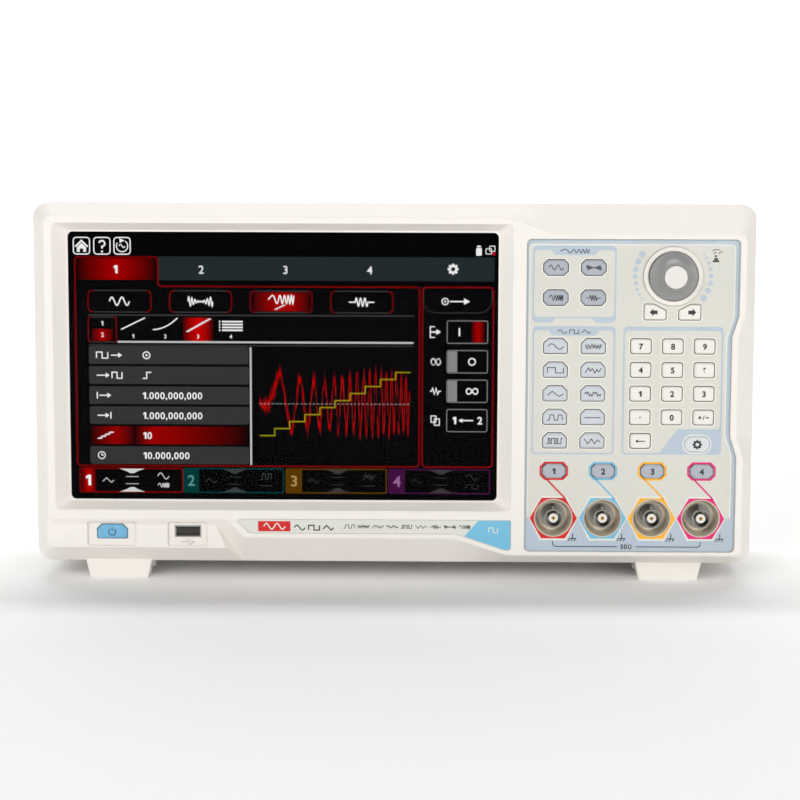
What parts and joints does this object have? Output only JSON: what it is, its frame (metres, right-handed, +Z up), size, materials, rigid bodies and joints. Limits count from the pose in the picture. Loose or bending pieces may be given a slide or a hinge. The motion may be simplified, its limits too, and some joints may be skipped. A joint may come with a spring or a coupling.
{
  "type": "function generator",
  "caption": "Bench function generator with a wide colour screen, a keypad, a push knob, BNC outputs in turned cups and fold-out legs.",
  "frame": {"origin": "on the bench under the middle of the instrument's bounding box", "axes": "+X to the right seen from the front, +Y from the front panel to the back, +Z up"},
  "size_m": [0.37, 0.123, 0.195],
  "materials": {
    "bezel_plastic": "fine-textured moulded plastic",
    "case_plastic": "textured moulded plastic",
    "overlay_film": "matt printed film",
    "screen_glass": "polished",
    "display_black": "lit panel behind glass",
    "silicone": "matt",
    "circuit_board": "solder mask",
    "encoder_metal": "plated",
    "port_steel": "plated",
    "nickel": "bright nickel plate",
    "ptfe": "smooth",
    "gold": "gold plate",
    "turned_metal": "fine turned rings",
    "sheet_metal": "satin",
    "black_plastic": "moulded",
    "screw_steel": "zinc",
    "knob_grey": "satin",
    "cap_white": "satin",
    "button_blue": "satin",
    "rocker_black": "satin",
    "key_function": "satin",
    "key_wave": "satin",
    "key_white": "satin",
    "key_utility": "satin"
  },
  "bodies": {
    "chassis": {"front_bezel": "bezel_plastic", "panel_overlay": "overlay_film", "display_glass": "screen_glass", "display_module": "display_black", "keypad_mat": "silicone", "control_board": "circuit_board", "encoder_body": "encoder_metal", "usb_port": "port_steel", "bnc_bodies": "nickel", "bnc_insulators": "ptfe", "bnc_contacts": "gold", "bnc_cups": "turned_metal", "main_board": "circuit_board", "power_supply": "sheet_metal", "rear_case": "case_plastic", "fan_frame": "black_plastic", "power_inlet": "black_plastic", "rear_ports": "port_steel", "case_screws": "screw_steel"},
    "key_continuous": {"key_continuous": "key_function"},
    "key_modulate": {"key_modulate": "key_function"},
    "key_sweep": {"key_sweep": "key_function"},
    "key_burst": {"key_burst": "key_function"},
    "key_sine": {"key_sine": "key_wave"},
    "key_noise": {"key_noise": "key_wave"},
    "key_square": {"key_square": "key_wave"},
    "key_arb": {"key_arb": "key_wave"},
    "key_ramp": {"key_ramp": "key_wave"},
    "key_harmonic": {"key_harmonic": "key_wave"},
    "key_pulse": {"key_pulse": "key_wave"},
    "key_dc": {"key_dc": "key_wave"},
    "key_prbs": {"key_prbs": "key_wave"},
    "key_user": {"key_user": "key_wave"},
    "key_7": {"key_7": "key_white"},
    "key_8": {"key_8": "key_white"},
    "key_9": {"key_9": "key_white"},
    "key_4": {"key_4": "key_white"},
    "key_5": {"key_5": "key_white"},
    "key_6": {"key_6": "key_white"},
    "key_1": {"key_1": "key_white"},
    "key_2": {"key_2": "key_white"},
    "key_3": {"key_3": "key_white"},
    "key_point": {"key_point": "key_white"},
    "key_0": {"key_0": "key_white"},
    "key_sign": {"key_sign": "key_white"},
    "key_backspace": {"key_backspace": "key_white"},
    "key_utility": {"key_utility": "key_utility"},
    "key_left": {"key_left": "key_white"},
    "key_right": {"key_right": "key_white"},
    "key_channel_1": {"key_channel_1": "key_function"},
    "key_channel_2": {"key_channel_2": "key_function"},
    "key_channel_3": {"key_channel_3": "key_function"},
    "key_channel_4": {"key_channel_4": "key_function"},
    "power_button": {"power_button": "button_blue"},
    "knob_push": {"push_spindle": "cap_white"},
    "knob_turn": {"knob": "knob_grey"},
    "fan_rotor": {"fan_rotor": "black_plastic"},
    "power_rocker": {"power_rocker": "rocker_black"},
    "tilt_leg_left": {"tilt_leg_left": "case_plastic"},
    "tilt_leg_right": {"tilt_leg_right": "case_plastic"}
  },
  "joints": [
    {"name": "press_continuous", "type": "slide", "parent": "chassis", "child": "key_continuous", "axis": [0, 1, 0], "range_m": [0, 0.001], "stiffness_N_per_m": 800, "springref_m": -0.0005},
    {"name": "press_modulate", "type": "slide", "parent": "chassis", "child": "key_modulate", "axis": [0, 1, 0], "range_m": [0, 0.001], "stiffness_N_per_m": 800, "springref_m": -0.0005},
    {"name": "press_sweep", "type": "slide", "parent": "chassis", "child": "key_sweep", "axis": [0, 1, 0], "range_m": [0, 0.001], "stiffness_N_per_m": 800, "springref_m": -0.0005},
    {"name": "press_burst", "type": "slide", "parent": "chassis", "child": "key_burst", "axis": [0, 1, 0], "range_m": [0, 0.001], "stiffness_N_per_m": 800, "springref_m": -0.0005},
    {"name": "press_sine", "type": "slide", "parent": "chassis", "child": "key_sine", "axis": [0, 1, 0], "range_m": [0, 0.001], "stiffness_N_per_m": 800, "springref_m": -0.0005},
    {"name": "press_noise", "type": "slide", "parent": "chassis", "child": "key_noise", "axis": [0, 1, 0], "range_m": [0, 0.001], "stiffness_N_per_m": 800, "springref_m": -0.0005},
    {"name": "press_square", "type": "slide", "parent": "chassis", "child": "key_square", "axis": [0, 1, 0], "range_m": [0, 0.001], "stiffness_N_per_m": 800, "springref_m": -0.0005},
    {"name": "press_arb", "type": "slide", "parent": "chassis", "child": "key_arb", "axis": [0, 1, 0], "range_m": [0, 0.001], "stiffness_N_per_m": 800, "springref_m": -0.0005},
    {"name": "press_ramp", "type": "slide", "parent": "chassis", "child": "key_ramp", "axis": [0, 1, 0], "range_m": [0, 0.001], "stiffness_N_per_m": 800, "springref_m": -0.0005},
    {"name": "press_harmonic", "type": "slide", "parent": "chassis", "child": "key_harmonic", "axis": [0, 1, 0], "range_m": [0, 0.001], "stiffness_N_per_m": 800, "springref_m": -0.0005},
    {"name": "press_pulse", "type": "slide", "parent": "chassis", "child": "key_pulse", "axis": [0, 1, 0], "range_m": [0, 0.001], "stiffness_N_per_m": 800, "springref_m": -0.0005},
    {"name": "press_dc", "type": "slide", "parent": "chassis", "child": "key_dc", "axis": [0, 1, 0], "range_m": [0, 0.001], "stiffness_N_per_m": 800, "springref_m": -0.0005},
    {"name": "press_prbs", "type": "slide", "parent": "chassis", "child": "key_prbs", "axis": [0, 1, 0], "range_m": [0, 0.001], "stiffness_N_per_m": 800, "springref_m": -0.0005},
    {"name": "press_user", "type": "slide", "parent": "chassis", "child": "key_user", "axis": [0, 1, 0], "range_m": [0, 0.001], "stiffness_N_per_m": 800, "springref_m": -0.0005},
    {"name": "press_7", "type": "slide", "parent": "chassis", "child": "key_7", "axis": [0, 1, 0], "range_m": [0, 0.001], "stiffness_N_per_m": 800, "springref_m": -0.0005},
    {"name": "press_8", "type": "slide", "parent": "chassis", "child": "key_8", "axis": [0, 1, 0], "range_m": [0, 0.001], "stiffness_N_per_m": 800, "springref_m": -0.0005},
    {"name": "press_9", "type": "slide", "parent": "chassis", "child": "key_9", "axis": [0, 1, 0], "range_m": [0, 0.001], "stiffness_N_per_m": 800, "springref_m": -0.0005},
    {"name": "press_4", "type": "slide", "parent": "chassis", "child": "key_4", "axis": [0, 1, 0], "range_m": [0, 0.001], "stiffness_N_per_m": 800, "springref_m": -0.0005},
    {"name": "press_5", "type": "slide", "parent": "chassis", "child": "key_5", "axis": [0, 1, 0], "range_m": [0, 0.001], "stiffness_N_per_m": 800, "springref_m": -0.0005},
    {"name": "press_6", "type": "slide", "parent": "chassis", "child": "key_6", "axis": [0, 1, 0], "range_m": [0, 0.001], "stiffness_N_per_m": 800, "springref_m": -0.0005},
    {"name": "press_1", "type": "slide", "parent": "chassis", "child": "key_1", "axis": [0, 1, 0], "range_m": [0, 0.001], "stiffness_N_per_m": 800, "springref_m": -0.0005},
    {"name": "press_2", "type": "slide", "parent": "chassis", "child": "key_2", "axis": [0, 1, 0], "range_m": [0, 0.001], "stiffness_N_per_m": 800, "springref_m": -0.0005},
    {"name": "press_3", "type": "slide", "parent": "chassis", "child": "key_3", "axis": [0, 1, 0], "range_m": [0, 0.001], "stiffness_N_per_m": 800, "springref_m": -0.0005},
    {"name": "press_point", "type": "slide", "parent": "chassis", "child": "key_point", "axis": [0, 1, 0], "range_m": [0, 0.001], "stiffness_N_per_m": 800, "springref_m": -0.0005},
    {"name": "press_0", "type": "slide", "parent": "chassis", "child": "key_0", "axis": [0, 1, 0], "range_m": [0, 0.001], "stiffness_N_per_m": 800, "springref_m": -0.0005},
    {"name": "press_sign", "type": "slide", "parent": "chassis", "child": "key_sign", "axis": [0, 1, 0], "range_m": [0, 0.001], "stiffness_N_per_m": 800, "springref_m": -0.0005},
    {"name": "press_backspace", "type": "slide", "parent": "chassis", "child": "key_backspace", "axis": [0, 1, 0], "range_m": [0, 0.001], "stiffness_N_per_m": 800, "springref_m": -0.0005},
    {"name": "press_utility", "type": "slide", "parent": "chassis", "child": "key_utility", "axis": [0, 1, 0], "range_m": [0, 0.001], "stiffness_N_per_m": 800, "springref_m": -0.0005},
    {"name": "press_left", "type": "slide", "parent": "chassis", "child": "key_left", "axis": [0, 1, 0], "range_m": [0, 0.001], "stiffness_N_per_m": 800, "springref_m": -0.0005},
    {"name": "press_right", "type": "slide", "parent": "chassis", "child": "key_right", "axis": [0, 1, 0], "range_m": [0, 0.001], "stiffness_N_per_m": 800, "springref_m": -0.0005},
    {"name": "press_channel_1", "type": "slide", "parent": "chassis", "child": "key_channel_1", "axis": [0, 1, 0], "range_m": [0, 0.001], "stiffness_N_per_m": 800, "springref_m": -0.0005},
    {"name": "press_channel_2", "type": "slide", "parent": "chassis", "child": "key_channel_2", "axis": [0, 1, 0], "range_m": [0, 0.001], "stiffness_N_per_m": 800, "springref_m": -0.0005},
    {"name": "press_channel_3", "type": "slide", "parent": "chassis", "child": "key_channel_3", "axis": [0, 1, 0], "range_m": [0, 0.001], "stiffness_N_per_m": 800, "springref_m": -0.0005},
    {"name": "press_channel_4", "type": "slide", "parent": "chassis", "child": "key_channel_4", "axis": [0, 1, 0], "range_m": [0, 0.001], "stiffness_N_per_m": 800, "springref_m": -0.0005},
    {"name": "press_power", "type": "slide", "parent": "chassis", "child": "power_button", "axis": [0, 1, 0], "range_m": [0, 0.001], "stiffness_N_per_m": 800, "springref_m": -0.0005},
    {"name": "push_knob", "type": "slide", "parent": "chassis", "child": "knob_push", "axis": [0, 1, 0], "range_m": [0, 0.0008], "stiffness_N_per_m": 1500, "springref_m": -0.0005},
    {"name": "turn_knob", "type": "hinge", "parent": "knob_push", "child": "knob_turn", "pos_m": [0.1416, -0.051, 0.1588], "axis": [0, 1, 0], "continuous": true},
    {"name": "fan_spin", "type": "hinge", "parent": "chassis", "child": "fan_rotor", "pos_m": [-0.12, 0.043, 0.104], "axis": [0, 1, 0], "continuous": true},
    {"name": "rock_power", "type": "hinge", "parent": "chassis", "child": "power_rocker", "pos_m": [0.136, 0.0505, 0.073], "axis": [1, 0, 0], "range_deg": [0, 14]},
    {"name": "tilt_left", "type": "hinge", "parent": "chassis", "child": "tilt_leg_left", "pos_m": [-0.143, -0.02, 0.0061], "axis": [-1, 0, 0], "range_deg": [0, 95]},
    {"name": "tilt_right", "type": "hinge", "parent": "chassis", "child": "tilt_leg_right", "pos_m": [0.143, -0.02, 0.0061], "axis": [-1, 0, 0], "range_deg": [0, 95]}
  ]
}
